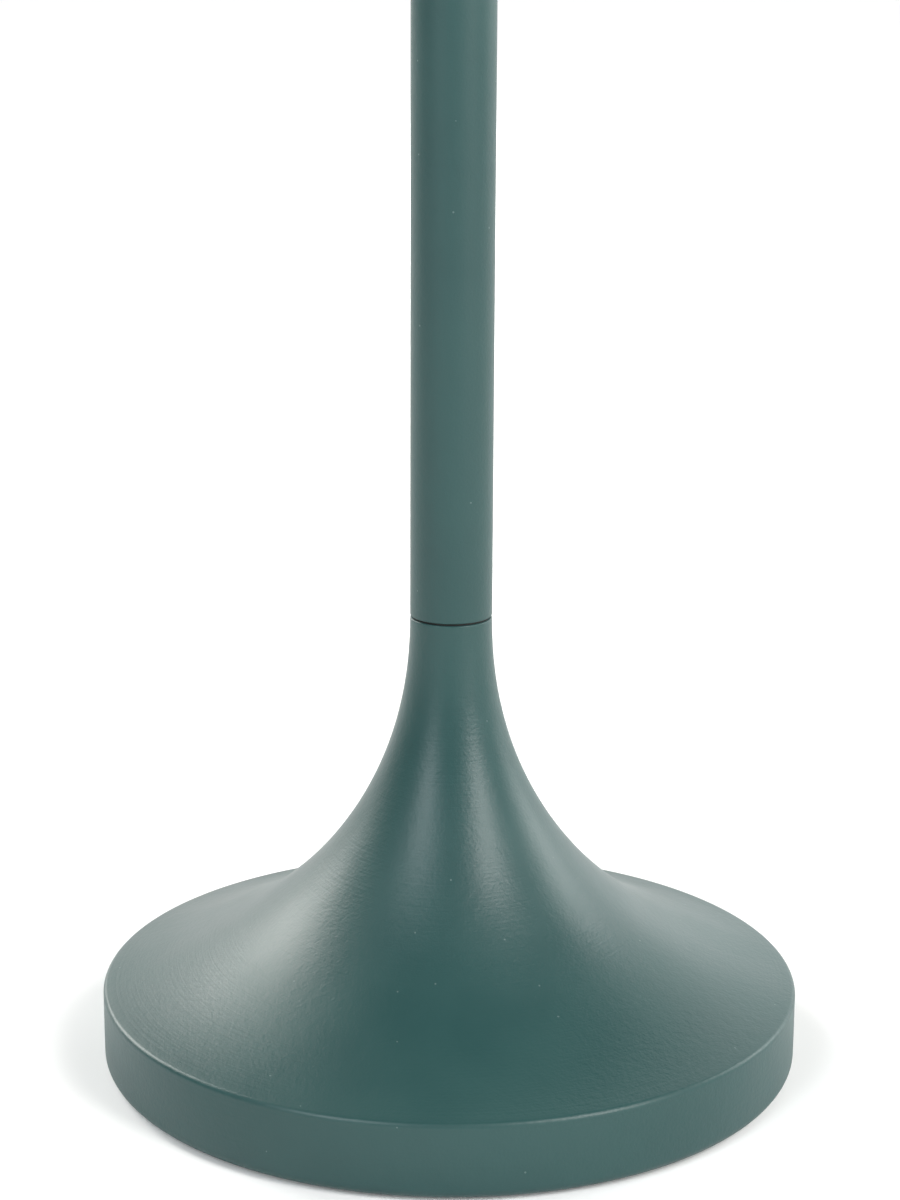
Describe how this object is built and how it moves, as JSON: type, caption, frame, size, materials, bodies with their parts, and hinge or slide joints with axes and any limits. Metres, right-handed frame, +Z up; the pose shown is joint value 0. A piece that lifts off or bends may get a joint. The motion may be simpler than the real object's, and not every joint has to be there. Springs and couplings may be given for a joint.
{
  "type": "floor lamp",
  "caption": "Floor lamp with a trumpet-shaped weighted base, a straight pole, and a swivelling, tilting counterweighted arm that carries a domed shade.",
  "frame": {"origin": "centre of the base's underside, on the floor under the pole's axis", "axes": "+Z up along the pole, +X the way the arm points at rest, -Y the front, +Y the side with the cable inlet"},
  "size_m": [0.7702, 0.2622, 1.481],
  "materials": {
    "green_paint": "satin",
    "shade_enamel": "satin",
    "weight_iron": "matte",
    "zinc_steel": "satin",
    "black_steel": "matte",
    "polished_steel": "satin",
    "brass": "satin",
    "pad_rubber": "matte",
    "black_plastic": "matte",
    "knob_black": "satin",
    "white_plastic": "matte",
    "holder_ceramic": "satin",
    "flex_sheath": "matte",
    "opal_glass": "satin",
    "bulb_nickel": "satin"
  },
  "bodies": {
    "stand": {"base_shell": "green_paint", "base_weight": "weight_iron", "base_plate": "zinc_steel", "hatch_cover": "zinc_steel", "base_pad": "pad_rubber", "plate_screws": "zinc_steel", "hatch_screws": "zinc_steel", "cable_gland": "black_plastic", "tie_rod": "zinc_steel", "tie_washer": "zinc_steel", "tie_nut": "zinc_steel", "neck_spacer": "zinc_steel", "neck_bush": "black_plastic", "terminal_block": "white_plastic", "terminal_screws": "brass", "earth_screw": "brass", "earth_tag": "zinc_steel", "pole_foot": "black_steel", "pole_lower": "green_paint", "pole_upper": "green_paint", "pole_inserts": "zinc_steel", "pole_nipple": "zinc_steel", "swivel_bush": "brass", "stop_pin": "zinc_steel", "pole_flex": "flex_sheath"},
    "swivel": {"arm_fork": "green_paint", "thrust_washer": "black_plastic", "spring_washer": "zinc_steel", "swivel_nut": "zinc_steel", "swivel_spindle": "zinc_steel", "arm_bolt": "polished_steel"},
    "knob": {"clamp_knob": "knob_black", "knob_washer": "polished_steel"},
    "arm": {"arm_hub": "green_paint", "arm_tube": "green_paint", "arm_washers": "black_plastic", "head_washers": "black_plastic", "counterweight": "green_paint", "arm_grub_screws": "zinc_steel", "arm_tongue": "green_paint", "arm_flex": "flex_sheath"},
    "head": {"head_fork": "green_paint", "head_bolt": "polished_steel", "head_nut": "polished_steel", "head_housing": "green_paint", "housing_nut": "zinc_steel", "holder_nipple": "zinc_steel", "head_flex": "flex_sheath", "switch_body": "black_plastic", "switch_nut": "polished_steel", "holder_cap": "black_plastic", "holder_insert": "holder_ceramic", "holder_contacts": "brass", "holder_skirt": "black_plastic", "shade_ring": "black_plastic", "shade": "shade_enamel", "bulb_glass": "opal_glass", "bulb_cap": "bulb_nickel", "bulb_tip": "brass"},
    "button": {"switch_button": "knob_black"}
  },
  "joints": [
    {"name": "pole_swivel", "type": "hinge", "parent": "stand", "child": "swivel", "pos_m": [0, 0, 1.2852], "axis": [0, 0, 1], "range_deg": [-165, 165]},
    {"name": "arm_tilt", "type": "hinge", "parent": "swivel", "child": "arm", "pos_m": [0, 0, 1.33], "axis": [0, -1, 0], "range_deg": [-53, 24]},
    {"name": "knob_turn", "type": "hinge", "parent": "swivel", "child": "knob", "pos_m": [0, -0.0205, 1.33], "axis": [0, -1, 0], "range_deg": [-270, 30]},
    {"name": "head_tilt", "type": "hinge", "parent": "arm", "child": "head", "pos_m": [0.41846, 0, 1.46597], "axis": [0, -1, 0], "range_deg": [-25, 75]},
    {"name": "switch_press", "type": "slide", "parent": "head", "child": "button", "axis": [0, 1, 0], "range_m": [0, 0.0025], "stiffness_N_per_m": 400}
  ]
}
